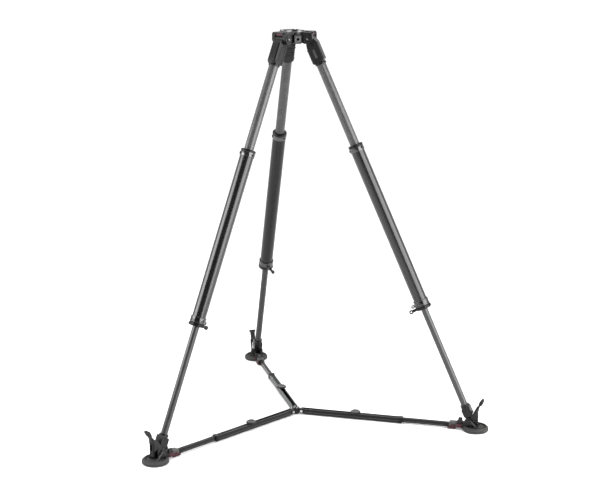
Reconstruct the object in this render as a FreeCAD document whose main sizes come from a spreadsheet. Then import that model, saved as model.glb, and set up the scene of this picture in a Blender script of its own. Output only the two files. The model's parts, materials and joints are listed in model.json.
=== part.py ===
"""Carbon-fibre camera tripod: bowl crown, three telescopic legs and a ground spreader.

Frame: +Z up, origin on the floor under the centre of the bowl, millimetres.
Leg C points along +Y, leg A is at 210 degrees and leg B at 330 degrees.
Leg pieces are drawn in a leg frame: origin on the hinge axis, +Z up the leg,
+X outwards and +Y along the hinge axis.  Shoe and spreader pieces are drawn in a
radial frame: origin on the floor, +X along the foot's direction, +Z up.
"""
import FreeCAD, Part
import math
import os
import re

import Sketcher

DIMENSIONS = {
    # overall layout
    "hinge_height": 1425.0,
    "hinge_reach": 60.0,
    "foot_reach": 687.0,
    # crown
    "crown_above": 24.0,
    "crown_below": 14.0,
    "crown_core": 47.0,
    "crown_flange": 11.0,
    "cup_wall": 3.5,
    "ear_reach": 76.0,
    "ear_half": 34.0,
    "notch_half": 20.3,
    "notch_root": 44.0,
    "bowl_ball": 75.0,
    "bowl_neck": 48.0,
    "bowl_wall": 3.0,
    "bowl_rim": 89.0,
    "rim_lift": 1.5,
    "accessory_half": 13.0,
    "accessory_reach": 57.0,
    "accessory_hole": 9.8,
    "accessory_depth": 14.0,
    # leg hinge and angle latch
    "bolt_dia": 10.0,
    "bolt_head_dia": 17.0,
    "bolt_head": 3.0,
    "bolt_socket": 6.0,
    "running_gap": 0.05,
    "latch_half": 20.0,
    "latch_inner": 46.0,
    "latch_outer": 74.0,
    "latch_bottom": 16.4,
    "latch_top": 23.6,
    # top casting of a leg
    "eye_radius": 15.0,
    "casting_half": 20.0,
    "casting_depth": 23.0,
    "casting_corner": 7.0,
    "casting_end": 94.0,
    "socket_start": 30.0,
    "panel_half": 7.0,
    "panel_lift": 0.8,
    # tubes
    "upper_dia": 35.0,
    "upper_bore": 31.0,
    "middle_dia": 50.0,
    "middle_bore": 46.0,
    "lower_dia": 25.0,
    "lower_bore": 21.8,
    "collar_start": 412.0,
    "collar_length": 26.0,
    "collar_dia": 54.0,
    "collar_gap": 0.15,
    "upper_overlap": 108.0,
    "lock_start": 1025.0,
    "lock_dia": 56.0,
    "lock_sleeve": 24.0,
    "ring_length": 12.0,
    "ring_dia": 58.0,
    "spigot_dia": 38.0,
    "lever_reach": 48.0,
    "lever_eye": 7.0,
    "lever_hole": 4.0,
    "lever_half": 3.0,
    "lug_reach": 36.0,
    "lug_eye": 6.0,
    "lug_hole": 3.5,
    "lower_top": 930.0,
    "lower_end": 1488.0,
    # foot casting
    "foot_start": 1452.0,
    "foot_dia": 34.0,
    "foot_half": 17.0,
    "body_end": 1498.0,
    "tongue_half": 8.7,
    "ankle_depth": 1517.0,
    "ankle_boss": 11.0,
    "ankle_pin": 8.0,
    # shoe
    "shoe_dia": 95.0,
    "shoe_height": 17.0,
    "shoe_recess": 36.0,
    "shoe_floor": 9.0,
    "cheek_inner": 9.0,
    "cheek_outer": 16.0,
    "boss_radius": 9.5,
    "boss_outer": 23.6,
    "brace_inner": 20.6,
    "nose_half": 16.0,
    "nose_inner": 618.5,
    "nose_top": 28.0,
    "post_top": 40.0,
    "strap_reach": 692.0,
    "strap_pivot": 24.0,
    "strap_pin": 5.0,
    "strap_eye": 5.5,
    "strap_half": 10.0,
    "strap_thick": 8.0,
    "strap_top": 85.0,
    "bail_inner": 18.5,
    "bail_outer": 22.0,
    "grip_length": 40.0,
    "grip_half": 6.0,
    "neck_half": 3.5,
    "grip_bar": 12.5,
    "grip_lean": 29.0,
    # ground spreader
    "arm_axis": 14.0,
    "hub_pivot": 24.0,
    "hub_core": 13.0,
    "pad_height": 4.0,
    "hub_pin": 6.0,
    "rail_half": 6.0,
    "rail_bottom": 5.5,
    "rail_top": 22.0,
    "rail_inner": 222.0,
    "rail_outer": 607.0,
    "channel_half": 10.3,
    "channel_slot": 6.3,
    "channel_bottom": 3.5,
    "channel_web": 5.0,
    "channel_top": 23.0,
    "channel_outer": 413.0,
    "lip_half": 12.0,
    "knob_reach": 232.0,
    "knob_dia": 37.0,
    "knob_stem": 6.0,
    "knob_top": 32.0,
    "end_inner": 590.0,
    "end_outer": 617.0,
    "end_half": 13.0,
    "end_top": 24.0,
    "arm_latch_half": 15.5,
}

LEGS = {"a": 210.0, "b": 330.0, "c": 90.0}
LOCK_TURN = {"a": 0.0, "b": 15.0, "c": 25.0}
STRAP_SIDE = {"a": -10.0, "b": 0.0, "c": 10.0}

doc = FreeCAD.newDocument("tripod")
sheet = doc.addObject("Spreadsheet::Sheet", "Dimensions")
for row, (alias, value) in enumerate(DIMENSIONS.items(), start=1):
    sheet.set("A%d" % row, alias)
    sheet.set("B%d" % row, str(value))
    sheet.setAlias("B%d" % row, alias)
doc.recompute()

X_AXIS = FreeCAD.Vector(1, 0, 0)
Y_AXIS = FreeCAD.Vector(0, 1, 0)
Z_AXIS = FreeCAD.Vector(0, 0, 1)
TURN = {
    "x": FreeCAD.Rotation(Y_AXIS, 90),
    "y": FreeCAD.Rotation(X_AXIS, -90),
    "z": FreeCAD.Rotation(),
}
PLANE = {"xy": "XY_Plane", "xz": "XZ_Plane", "yz": "YZ_Plane"}
pieces = []


# ---------------------------------------------------------------- helpers

def size(alias):
    """A driving dimension as a number."""
    return float(sheet.get(alias))


def formula(text):
    """The same formula with every dimension name pointing at its sheet cell."""
    def cell(match):
        word = match.group(0)
        return "Dimensions." + word if word in DIMENSIONS else word
    return re.sub(r"[a-z_]+", cell, str(text))


def value_of(text):
    """What a formula comes to."""
    return float(sheet.evalExpression(formula(text)))


def bind(obj, **formulas):
    """Bind properties of an object to formulas of the sheet's cells."""
    for name, text in formulas.items():
        obj.setExpression(name, formula(text))


def move_to(obj, x, y, z):
    """Bind an object's position to three formulas."""
    for letter, text in zip("xyz", (x, y, z)):
        obj.setExpression("Placement.Base." + letter, formula(text))


def box(x, y, z):
    """A block between two formulas along each axis."""
    block = doc.addObject("Part::Box", "block")
    bind(block, Length="(%s) - (%s)" % (x[1], x[0]))
    bind(block, Width="(%s) - (%s)" % (y[1], y[0]))
    bind(block, Height="(%s) - (%s)" % (z[1], z[0]))
    move_to(block, x[0], y[0], z[0])
    return block


def rod(axis, radius, start, end, centre=(0, 0)):
    """A round bar along one axis; centre holds the other two coordinates in order."""
    bar = doc.addObject("Part::Cylinder", "rod")
    bar.Placement = FreeCAD.Placement(FreeCAD.Vector(), TURN[axis])
    bind(bar, Radius=radius, Height="(%s) - (%s)" % (end, start))
    place = list(centre)
    place.insert("xyz".index(axis), start)
    move_to(bar, *place)
    return bar


def ball(radius, centre):
    """A full sphere."""
    sphere = doc.addObject("Part::Sphere", "ball")
    bind(sphere, Radius=radius)
    move_to(sphere, *centre)
    return sphere


def fuse(*parts):
    """One solid from several."""
    joined = doc.addObject("Part::MultiFuse", "joined")
    joined.Shapes = list(parts)
    joined.Refine = True
    return joined


def cut(base, *tools):
    """The base without the tools."""
    result = doc.addObject("Part::Cut", "cut")
    result.Base = base
    result.Tool = tools[0] if len(tools) == 1 else fuse(*tools)
    result.Refine = True
    return result


def turned(part, angle):
    """The same part turned about the vertical axis."""
    doc.recompute()
    copy = doc.addObject("Part::Feature", "turned")
    copy.Shape = part.Shape.copy()
    spin = FreeCAD.Placement(FreeCAD.Vector(), FreeCAD.Rotation(Z_AXIS, angle))
    copy.Placement = spin.multiply(part.Placement)
    return copy


def draw_outline(sketch, points):
    """A closed outline whose corners are bound to formulas."""
    corners = [FreeCAD.Vector(value_of(x), value_of(y), 0) for x, y in points]
    count = len(corners)
    for index in range(count):
        following = corners[(index + 1) % count]
        sketch.addGeometry(Part.LineSegment(corners[index], following), False)
    for index in range(count):
        following = (index + 1) % count
        sketch.addConstraint(Sketcher.Constraint("Coincident", index, 2, following, 1))
    for index, (x, y) in enumerate(points):
        corner = corners[index]
        for kind, text, number in (("DistanceX", x, corner.x), ("DistanceY", y, corner.y)):
            place = sketch.addConstraint(Sketcher.Constraint(kind, -1, 1, index, 1, number))
            sketch.setExpression("Constraints[%d]" % place, formula(text))


def draw_circle(sketch, radius):
    """A circle about the sketch's origin."""
    circle = Part.Circle(FreeCAD.Vector(), Z_AXIS, value_of(radius))
    index = sketch.addGeometry(circle, False)
    sketch.addConstraint(Sketcher.Constraint("Coincident", index, 3, -1, 1))
    place = sketch.addConstraint(Sketcher.Constraint("Radius", index, value_of(radius)))
    sketch.setExpression("Constraints[%d]" % place, formula(radius))


def plate(points, half):
    """A side outline in X and Z, made solid to a half width each way along Y."""
    sketch = doc.addObject("Sketcher::SketchObject", "outline")
    sketch.Placement = FreeCAD.Placement(FreeCAD.Vector(), FreeCAD.Rotation(X_AXIS, 90))
    draw_outline(sketch, points)
    solid = doc.addObject("Part::Extrusion", "plate")
    solid.Base = sketch
    solid.DirMode = "Custom"
    solid.Dir = Y_AXIS
    solid.Solid = True
    solid.Symmetric = True
    bind(solid, LengthFwd="2 * (%s)" % half)
    return solid


def new_body(label):
    """An empty body that becomes one piece."""
    body = doc.addObject("PartDesign::Body", label)
    body.Label = label
    return body


def new_sketch(body, plane, offset="0"):
    """A sketch on one of the body's own planes, moved along its normal."""
    sketch = body.newObject("Sketcher::SketchObject", body.Label + "_sketch")
    role = PLANE[plane]
    support = next(item for item in body.Origin.OriginFeatures if item.Role == role)
    sketch.AttachmentSupport = (support, [""])
    sketch.MapMode = "FlatFace"
    sketch.setExpression("AttachmentOffset.Base.z", formula(offset))
    return sketch


def revolved(label, points):
    """A body turned from a half section about its own vertical axis."""
    body = new_body(label)
    sketch = new_sketch(body, "xz")
    draw_outline(sketch, points)
    feature = body.newObject("PartDesign::Revolution", label + "_revolution")
    feature.Profile = sketch
    feature.ReferenceAxis = (sketch, ["V_Axis"])
    feature.Angle = 360.0
    return body


def tube(label, outer_dia, inner_dia, top, bottom):
    """A round tube between two depths below the hinge."""
    body = new_body(label)
    sketch = new_sketch(body, "xy", "-(%s)" % bottom)
    draw_circle(sketch, "(%s) / 2" % outer_dia)
    draw_circle(sketch, "(%s) / 2" % inner_dia)
    feature = body.newObject("PartDesign::Pad", label + "_pad")
    feature.Profile = sketch
    bind(feature, Length="(%s) - (%s)" % (bottom, top))
    return body


def rounded(part, radius, wanted):
    """Round the straight edges that the test function accepts."""
    doc.recompute()
    chosen = []
    for index, edge in enumerate(part.Shape.Edges, start=1):
        if len(edge.Vertexes) == 2 and wanted(edge):
            chosen.append((index, size(radius), size(radius)))
    fillet = doc.addObject("Part::Fillet", "rounded")
    fillet.Base = part
    fillet.Edges = chosen
    return fillet


def finish(obj, label, placement):
    """Name a piece, put it in its place and list it."""
    obj.Label = label
    obj.Placement = placement
    pieces.append(obj)
    return obj


def leg_angle():
    """Angle of a leg from the vertical, in degrees."""
    run = size("foot_reach") - size("hinge_reach")
    return math.degrees(math.atan2(run, size("hinge_height")))


def radial_frame(azimuth):
    """On the floor, +X pointing along a foot's direction."""
    return FreeCAD.Placement(FreeCAD.Vector(), FreeCAD.Rotation(Z_AXIS, azimuth))


def leg_frame(azimuth):
    """On a leg's hinge axis, +Z pointing up the leg."""
    hinge = FreeCAD.Vector(size("hinge_reach"), 0, size("hinge_height"))
    tilt = FreeCAD.Placement(hinge, FreeCAD.Rotation(Y_AXIS, -leg_angle()))
    return radial_frame(azimuth).multiply(tilt)


def crown_frame():
    """On the tripod's axis at the height of the hinges."""
    return FreeCAD.Placement(FreeCAD.Vector(0, 0, size("hinge_height")), FreeCAD.Rotation())


# ---------------------------------------------------------------- crown

def crown_casting():
    """Three-eared casting with a clevis for each leg and a spherical bowl."""
    flange = rod("z", "crown_core", "crown_above - crown_flange", "crown_above")
    cup = ball("bowl_ball / 2 + bowl_wall + cup_wall", ("0", "0", "crown_above"))
    cup_top = box(("-60", "60"), ("-60", "60"), ("crown_above", "crown_above + 60"))
    cup_end = box(("-60", "60"), ("-60", "60"), ("-crown_below - 60", "-crown_below"))
    bowl_cup = cut(cup, cup_top, cup_end)
    ear = plate([
        ("20", "crown_above"),
        ("ear_reach - 5", "crown_above"),
        ("ear_reach", "crown_above - 6"),
        ("ear_reach", "-3"),
        ("ear_reach - 9", "-eye_radius - 2"),
        ("hinge_reach - 12", "-eye_radius - 2"),
        ("notch_root - 4", "-crown_below"),
        ("20", "-crown_below"),
    ], "ear_half")
    notch = box(("notch_root", "ear_reach + 5"), ("-notch_half", "notch_half"),
                ("-crown_below - 10", "crown_above + 5"))
    bolt_way = rod("y", "bolt_dia / 2", "-ear_half - 1", "ear_half + 1", ("hinge_reach", "0"))
    relief = box(("ear_reach - 20", "ear_reach + 5"), ("-notch_half - 5", "notch_half + 5"),
                 ("crown_above - 3", "crown_above + 1"))
    ears = [turned(ear, azimuth) for azimuth in LEGS.values()]
    clearings = [turned(tool, azimuth) for azimuth in LEGS.values()
                 for tool in (notch, bolt_way, relief)]
    boss = box(("-accessory_half", "accessory_half"), ("-accessory_reach", "-crown_core + 6"),
               ("-crown_below - 2", "crown_above - 9"))
    boss_cut = rod("y", "accessory_hole / 2", "-accessory_reach - 1",
                   "accessory_depth - accessory_reach", ("0", "0"))
    whole = fuse(flange, bowl_cup, boss, *ears)
    bowl = ball("bowl_ball / 2 + bowl_wall", ("0", "0", "crown_above"))
    neck = rod("z", "bowl_neck / 2 + bowl_wall", "-crown_below - 5", "crown_above")
    casting = cut(whole, bowl, neck, boss_cut, *clearings)
    finish(casting, "crown_casting", crown_frame())


def bowl_insert():
    """Machined seat ring for a half-ball levelling base."""
    shell = ball("bowl_ball / 2 + bowl_wall", ("0", "0", "crown_above"))
    neck = rod("z", "bowl_neck / 2 + bowl_wall", "-crown_below", "crown_above")
    rim = rod("z", "bowl_rim / 2", "crown_above", "crown_above + rim_lift")
    hollow = ball("bowl_ball / 2", ("0", "0", "crown_above + rim_lift"))
    hole = rod("z", "bowl_neck / 2", "-crown_below - 5", "crown_above")
    above = box(("-60", "60"), ("-60", "60"), ("crown_above", "crown_above + 60"))
    seat = cut(fuse(cut(fuse(shell, neck), above), rim), hollow, hole)
    finish(seat, "bowl_insert", crown_frame())


def hinge_bolts():
    """Three shouldered bolts, one through each clevis."""
    shank = rod("y", "bolt_dia / 2", "-ear_half", "ear_half", ("hinge_reach", "0"))
    head = rod("y", "bolt_head_dia / 2", "ear_half", "ear_half + bolt_head", ("hinge_reach", "0"))
    nut = rod("y", "bolt_head_dia / 2", "-ear_half - bolt_head", "-ear_half", ("hinge_reach", "0"))
    socket = rod("y", "bolt_socket / 2", "ear_half + 1", "ear_half + 4", ("hinge_reach", "0"))
    dimple = rod("y", "bolt_socket / 2", "-ear_half - 4", "-ear_half - 1", ("hinge_reach", "0"))
    bolt = cut(fuse(shank, head, nut), socket, dimple)
    group = doc.addObject("Part::Compound", "hinge_bolts")
    group.Links = [turned(bolt, azimuth) for azimuth in LEGS.values()]
    finish(group, "hinge_bolts", crown_frame())


def angle_latch(leg, azimuth):
    """Pull-out catch on top of a leg's clevis that frees the leg's angle."""
    slab = plate([
        ("latch_inner", "latch_bottom"),
        ("latch_outer - 3.5", "latch_bottom"),
        ("latch_outer - 2.5", "latch_bottom - 4"),
        ("latch_outer", "latch_bottom - 4"),
        ("latch_outer", "latch_top - 3"),
        ("latch_outer - 3", "latch_top"),
        ("latch_inner + 12", "latch_top"),
        ("latch_inner + 8", "latch_top - 2"),
        ("latch_inner", "latch_top - 2"),
    ], "latch_half")
    place = crown_frame().multiply(radial_frame(azimuth))
    finish(slab, "angle_latch_" + leg, place)


# ---------------------------------------------------------------- legs

def top_casting(leg, azimuth):
    """Cast socket that hangs the leg from the crown and grips the upper tube."""
    eye = rod("y", "eye_radius", "-casting_half", "casting_half")
    outline = plate([
        ("-eye_radius + 2", "-3"),
        ("-casting_depth", "-34"),
        ("-casting_depth", "-casting_end + 3"),
        ("-casting_depth + 9", "-casting_end"),
        ("casting_depth - 12", "-casting_end"),
        ("casting_depth", "-casting_end + 10"),
        ("casting_depth", "-22"),
        ("eye_radius - 1", "-2"),
    ], "casting_half")
    block = rounded(outline, "casting_corner", upright_edge)
    panel = box(("-panel_half", "panel_half"),
                ("-casting_half - panel_lift", "casting_half + panel_lift"), ("-80", "-30"))
    bore = rod("z", "upper_dia / 2", "-casting_end - 2", "-socket_start")
    hinge = rod("y", "bolt_dia / 2 + running_gap", "-casting_half - 1", "casting_half + 1")
    casting = cut(fuse(eye, block, panel), bore, hinge)
    finish(casting, "leg_%s_top_casting" % leg, leg_frame(azimuth))


def upright_edge(edge):
    """True for the long corner edges of a casting."""
    way = edge.tangentAt(edge.FirstParameter)
    return abs(way.z) > 0.999 and edge.Length > 40


def upper_stage(leg, frame):
    """Upper tube and the guide bush on its lower end."""
    bottom = "collar_start + upper_overlap"
    finish(tube("upper_tube", "upper_dia", "upper_bore", "socket_start", bottom),
           "leg_%s_upper_tube" % leg, frame)
    bush_top = "collar_start + collar_length + 3"
    bush_outer = "middle_bore - 0.2"
    finish(tube("guide_bush", bush_outer, "upper_dia", bush_top, bottom + " - 1"),
           "leg_%s_guide_bush" % leg, frame)


def collar(leg, frame):
    """Wiper collar on the top of the middle tube."""
    top = "-collar_start"
    end = "-collar_start - collar_length"
    section = [
        ("upper_dia / 2 + collar_gap", top),
        ("collar_dia / 2 - 4", top),
        ("collar_dia / 2 - 1", top + " - 1"),
        ("collar_dia / 2", top + " - 3"),
        ("collar_dia / 2", top + " - 7"),
        ("collar_dia / 2 - 1", top + " - 9"),
        ("collar_dia / 2 - 1", end),
        ("middle_dia / 2", end),
        ("middle_dia / 2", top + " - 6"),
        ("middle_bore / 2", top + " - 6"),
        ("middle_bore / 2", end),
        ("upper_dia / 2 + collar_gap", end),
    ]
    finish(revolved("collar", section), "leg_%s_collar" % leg, frame)


def middle_tube(leg, frame):
    """The outer tube that both other tubes slide into."""
    finish(tube("middle_tube", "middle_dia", "middle_bore", "collar_start + 6", "lock_start + 15"),
           "leg_%s_middle_tube" % leg, frame)


def lock_housing(leg, frame):
    """Sleeve at the bottom of the middle tube, with the lock's spigot and a fixed eye."""
    bore = "lower_dia / 2 + 0.1"
    step = "-lock_start - lock_sleeve"
    body = revolved("lock_sleeve", [
        (bore, "-lock_start + 25"),
        ("middle_bore / 2", "-lock_start + 25"),
        ("middle_bore / 2", "-lock_start - 15"),
        ("middle_dia / 2", "-lock_start - 15"),
        ("middle_dia / 2", "-lock_start"),
        ("lock_dia / 2 - 1", "-lock_start"),
        ("lock_dia / 2", "-lock_start - 2"),
        ("lock_dia / 2", step + " + 2"),
        ("lock_dia / 2 - 1.5", step),
        ("spigot_dia / 2", step),
        ("spigot_dia / 2", step + " - ring_length - 0.5"),
        (bore, step + " - ring_length - 0.5"),
    ])
    height = step + " + 6"
    eye = rod("y", "lug_eye", "-lever_half", "lever_half", ("-lug_reach", height))
    bridge = box(("-lug_reach", "-lock_dia / 2 + 2"), ("-lever_half", "lever_half"),
                 (height + " - 4", height + " + 4"))
    hole = rod("y", "lug_hole", "-lever_half - 1", "lever_half + 1", ("-lug_reach", height))
    finish(fuse(body, cut(fuse(eye, bridge), hole)), "leg_%s_lock_housing" % leg, frame)


def lock_ring(leg, frame):
    """Quarter-turn ring with a lever that ends in an eye."""
    top = "-lock_start - lock_sleeve - 0.3"
    bottom = "-lock_start - lock_sleeve - ring_length"
    middle = "(%s + %s) / 2" % (top, bottom)
    ring = revolved("ring", [
        ("spigot_dia / 2 + 0.1", top),
        ("ring_dia / 2 - 1.5", top),
        ("ring_dia / 2", top + " - 1.5"),
        ("ring_dia / 2", bottom + " + 2.5"),
        ("ring_dia / 2 - 2.5", bottom),
        ("spigot_dia / 2 + 0.1", bottom),
    ])
    eye = rod("y", "lever_eye", "-lever_half", "lever_half", ("-lever_reach", middle + " - 2"))
    lever = plate([
        ("-ring_dia / 2 + 3", middle + " + 5"),
        ("-lever_reach", middle + " + 3"),
        ("-lever_reach", middle + " - 7"),
        ("-ring_dia / 2 + 3", middle + " - 5"),
    ], "lever_half")
    hole = rod("y", "lever_hole", "-lever_half - 1", "lever_half + 1",
               ("-lever_reach", middle + " - 2"))
    turn = FreeCAD.Placement(FreeCAD.Vector(), FreeCAD.Rotation(Z_AXIS, LOCK_TURN[leg]))
    finish(fuse(ring, cut(fuse(eye, lever), hole)), "leg_%s_lock_ring" % leg,
           frame.multiply(turn))


def lower_stage(leg, frame):
    """Lower tube and the casting on its end, with a tongue that turns in the shoe."""
    finish(tube("lower_tube", "lower_dia", "lower_bore", "lower_top", "lower_end"),
           "leg_%s_lower_tube" % leg, frame)
    socket = rod("z", "foot_dia / 2", "-lower_end", "-foot_start")
    bore = rod("z", "lower_dia / 2", "-lower_end", "-foot_start + 1")
    body = plate([
        ("-foot_dia / 2 + 1", "-foot_start - 14"),
        ("foot_dia / 2 - 1", "-foot_start - 6"),
        ("foot_dia / 2", "-foot_start - 14"),
        ("foot_dia / 2", "-body_end + 5"),
        ("foot_dia / 2 - 5", "-body_end"),
        ("-foot_dia / 2 + 6", "-body_end"),
        ("-foot_dia / 2 + 1", "-body_end + 5"),
    ], "foot_half")
    tongue = box(("-ankle_boss", "ankle_boss"), ("-tongue_half", "tongue_half"),
                 ("-ankle_depth", "-body_end + 1"))
    boss = rod("y", "ankle_boss", "-tongue_half", "tongue_half", ("0", "-ankle_depth"))
    pin = rod("y", "ankle_pin / 2 + running_gap", "-tongue_half - 1", "tongue_half + 1",
              ("0", "-ankle_depth"))
    casting = cut(fuse(socket, body, tongue, boss), bore, pin)
    finish(casting, "leg_%s_foot_casting" % leg, frame)


# ---------------------------------------------------------------- shoes

def ankle():
    """Radius and height of the ankle pin."""
    angle = math.radians(leg_angle())
    reach = size("hinge_reach") + size("ankle_depth") * math.sin(angle)
    height = size("hinge_height") - size("ankle_depth") * math.cos(angle)
    return reach, height


def shoe_disc(leg, azimuth):
    """Round rubber sole with a dished top."""
    section = [
        ("0", "0"),
        ("shoe_dia / 2 - 2.5", "0"),
        ("shoe_dia / 2", "3"),
        ("shoe_dia / 2", "shoe_height - 6"),
        ("shoe_dia / 2 - 5", "shoe_height"),
        ("shoe_recess + 1", "shoe_height"),
        ("shoe_recess", "shoe_height - 1"),
        ("shoe_recess", "shoe_floor"),
        ("0", "shoe_floor"),
    ]
    centre = FreeCAD.Placement(FreeCAD.Vector(size("foot_reach"), 0, 0), FreeCAD.Rotation())
    place = radial_frame(azimuth).multiply(centre)
    finish(revolved("shoe_disc", section), "leg_%s_shoe_disc" % leg, place)


def shoe_block(leg, azimuth):
    """Ankle block with its pin, the strap's lug and the nose that meets the spreader."""
    reach, height = ankle()
    side = STRAP_SIDE[leg]
    base = rod("z", "shoe_recess - 0.2", "shoe_floor", "shoe_floor + 3", ("foot_reach", "0"))
    outline = plate([
        (reach - 14, "shoe_floor + 2"),
        (reach - 14, "shoe_height + 0.3"),
        (reach - 22, "shoe_height + 0.3"),
        (reach - 23, height + 3),
        (reach - 16, height + 8),
        (reach - 8, height + 14),
        (reach + 8, height + 14),
        (reach + 13, height + 4),
        (reach + 13, "shoe_floor + 2"),
    ], "cheek_outer")
    gap = box((reach - 30, reach + 30), ("-cheek_inner", "cheek_inner"),
              ("shoe_floor + 4.5", height + 30))
    cheeks = cut(outline, gap)
    pin = rod("y", "ankle_pin / 2", "-cheek_outer", "cheek_outer", (reach, height))
    brace_outline = plate([
        (reach - 2, height + 7),
        (reach + 5, height + 7),
        (reach + 32, "shoe_floor + 2"),
        (reach + 22, "shoe_floor + 2"),
    ], "boss_outer")
    brace_gap = box((reach - 10, reach + 40), ("-brace_inner", "brace_inner"), ("0", height + 20))
    braces = cut(brace_outline, brace_gap)
    bosses = [rod("y", "boss_radius", start, end, (reach, height))
              for start, end in (("cheek_outer - 1", "boss_outer"), ("-boss_outer", "1 - cheek_outer"))]
    nose = plate([
        ("nose_inner", "nose_top - 4"),
        ("nose_inner + 4", "nose_top"),
        ("foot_reach - 40", "nose_top"),
        (reach - 14, "nose_top - 6"),
        (reach - 14, "shoe_floor + 2"),
        ("foot_reach - 33", "shoe_floor + 2"),
        ("foot_reach - 33", "shoe_height + 0.3"),
        ("foot_reach - shoe_dia / 2 - 0.5", "shoe_height + 0.3"),
        ("foot_reach - shoe_dia / 2 - 0.5", "5"),
    ], "nose_half - 5")
    posts = [box(("nose_inner + 4", "nose_inner + 18"), (low, low + 6), ("nose_top - 8", "post_top"))
             for low in (-14, 8)]
    wing = box(("nose_inner + 4", "foot_reach - 40"), ("-nose_half", "nose_half"),
               ("shoe_height + 0.3", "nose_top - 3"))
    lug = box(("strap_reach - 5", "strap_reach + 5"), (side - 4, side + 4),
              ("shoe_floor + 2", "strap_pivot"))
    lug_top = rod("y", "5", side - 4, side + 4, ("strap_reach", "strap_pivot"))
    strap_pin = rod("y", "strap_pin / 2", "%g - strap_half" % side, "%g + strap_half" % side,
                    ("strap_reach", "strap_pivot"))
    block = fuse(base, cheeks, braces, pin, nose, wing, lug, lug_top, strap_pin, *bosses, *posts)
    finish(block, "leg_%s_shoe_block" % leg, radial_frame(azimuth))


def grip_corner(along, across):
    """A point of the leaning grip: along it from the strap's top, and across its thickness."""
    lean = math.radians(size("grip_lean"))
    x = "strap_reach + (%s) * %g + (%s) * %g" % (along, math.sin(lean), across, math.cos(lean))
    z = "strap_top - 4 + (%s) * %g - (%s) * %g" % (along, math.cos(lean), across, math.sin(lean))
    return x, z


def foot_strap(leg, azimuth):
    """Rubber strap with a slot, a bail round the foot casting and a grip that leans outwards."""
    side = STRAP_SIDE[leg]
    low = "%g - strap_half" % side
    high = "%g + strap_half" % side
    web = box(("strap_reach - strap_thick / 2", "strap_reach + strap_thick / 2"), (low, high),
              ("strap_pivot", "strap_top"))
    eyes = rod("y", "strap_eye", low, high, ("strap_reach", "strap_pivot"))
    bore = rod("y", "strap_pin / 2 + running_gap", low + " - 1", high + " + 1",
               ("strap_reach", "strap_pivot"))
    gap = box(("strap_reach - 8", "strap_reach + 8"), (side - 4.4, side + 4.4),
              ("strap_pivot - 8", "strap_pivot + 6.5"))
    slot = box(("strap_reach - 8", "strap_reach + 8"), (side - 5.2, side + 5.2),
               ("strap_pivot + 18", "strap_top - 14"))
    reach, height = ankle()
    bail_outline = plate([
        ("strap_reach + strap_thick / 2", "strap_top"),
        ("strap_reach - strap_thick / 2", "strap_top - 1"),
        (reach + 1, height + 15.5),
        (reach + 9, height + 14.5),
        ("strap_reach + strap_thick / 2", "strap_top - 16"),
    ], "bail_outer")
    bail_gap = box(("strap_reach - 40", "strap_reach + 10"), ("-bail_inner", "bail_inner"),
                   ("0", "strap_top + 10"))
    bail = cut(bail_outline, bail_gap)
    crossbar = box(("strap_reach - strap_thick / 2", "strap_reach + strap_thick / 2"),
                   ("-bail_outer", "bail_outer"), ("strap_top - 10", "strap_top"))
    profile = [("0", "grip_half"), ("9", "neck_half"), ("20", "neck_half"), ("25", "grip_half"),
               ("grip_length", "grip_half")]
    corners = profile + [(along, "-" + across) for along, across in reversed(profile)]
    grip_outline = plate([grip_corner(along, across) for along, across in corners],
                         "strap_half - 1")
    move_to(grip_outline, "0", side, "0")
    bar = rod("y", "grip_half - 1", "%g - grip_bar" % side, "%g + grip_bar" % side,
              grip_corner("grip_length - 1", "0"))
    strap = cut(fuse(web, eyes, crossbar, bail, grip_outline, bar), bore, gap, slot)
    finish(strap, "leg_%s_foot_strap" % leg, radial_frame(azimuth))


# ---------------------------------------------------------------- ground spreader

def hub_pieces():
    """Hub body, its rubber pad and its three pivot pins."""
    core = rod("z", "hub_core", "pad_height", "rail_top")
    tongue = fuse(
        box(("0", "hub_pivot"), ("-rail_half", "rail_half"), ("rail_bottom", "rail_top")),
        rod("y", "(rail_top - rail_bottom) / 2", "-rail_half", "rail_half",
            ("hub_pivot", "(rail_top + rail_bottom) / 2")))
    bore = rod("y", "hub_pin / 2", "-rail_half - 1", "rail_half + 1", ("hub_pivot", "arm_axis"))
    pin = fuse(
        rod("y", "hub_pin / 2", "-channel_half - 1", "channel_half + 1", ("hub_pivot", "arm_axis")),
        rod("y", "hub_pin / 2 + 2", "channel_half + 0.3", "channel_half + 2",
            ("hub_pivot", "arm_axis")),
        rod("y", "hub_pin / 2 + 2", "-channel_half - 2", "-channel_half - 0.3",
            ("hub_pivot", "arm_axis")))
    tongues = [turned(tongue, azimuth) for azimuth in LEGS.values()]
    bores = [turned(bore, azimuth) for azimuth in LEGS.values()]
    finish(cut(fuse(core, *tongues), *bores), "hub_body", FreeCAD.Placement())
    pad = revolved("hub_pad", [
        ("0", "0"),
        ("hub_core - 2.5", "0"),
        ("hub_core - 1", "1.5"),
        ("hub_core - 1", "pad_height"),
        ("0", "pad_height"),
    ])
    finish(pad, "hub_pad", FreeCAD.Placement())
    pins = doc.addObject("Part::Compound", "hub_pins")
    pins.Links = [turned(pin, azimuth) for azimuth in LEGS.values()]
    finish(pins, "hub_pins", FreeCAD.Placement())


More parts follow.
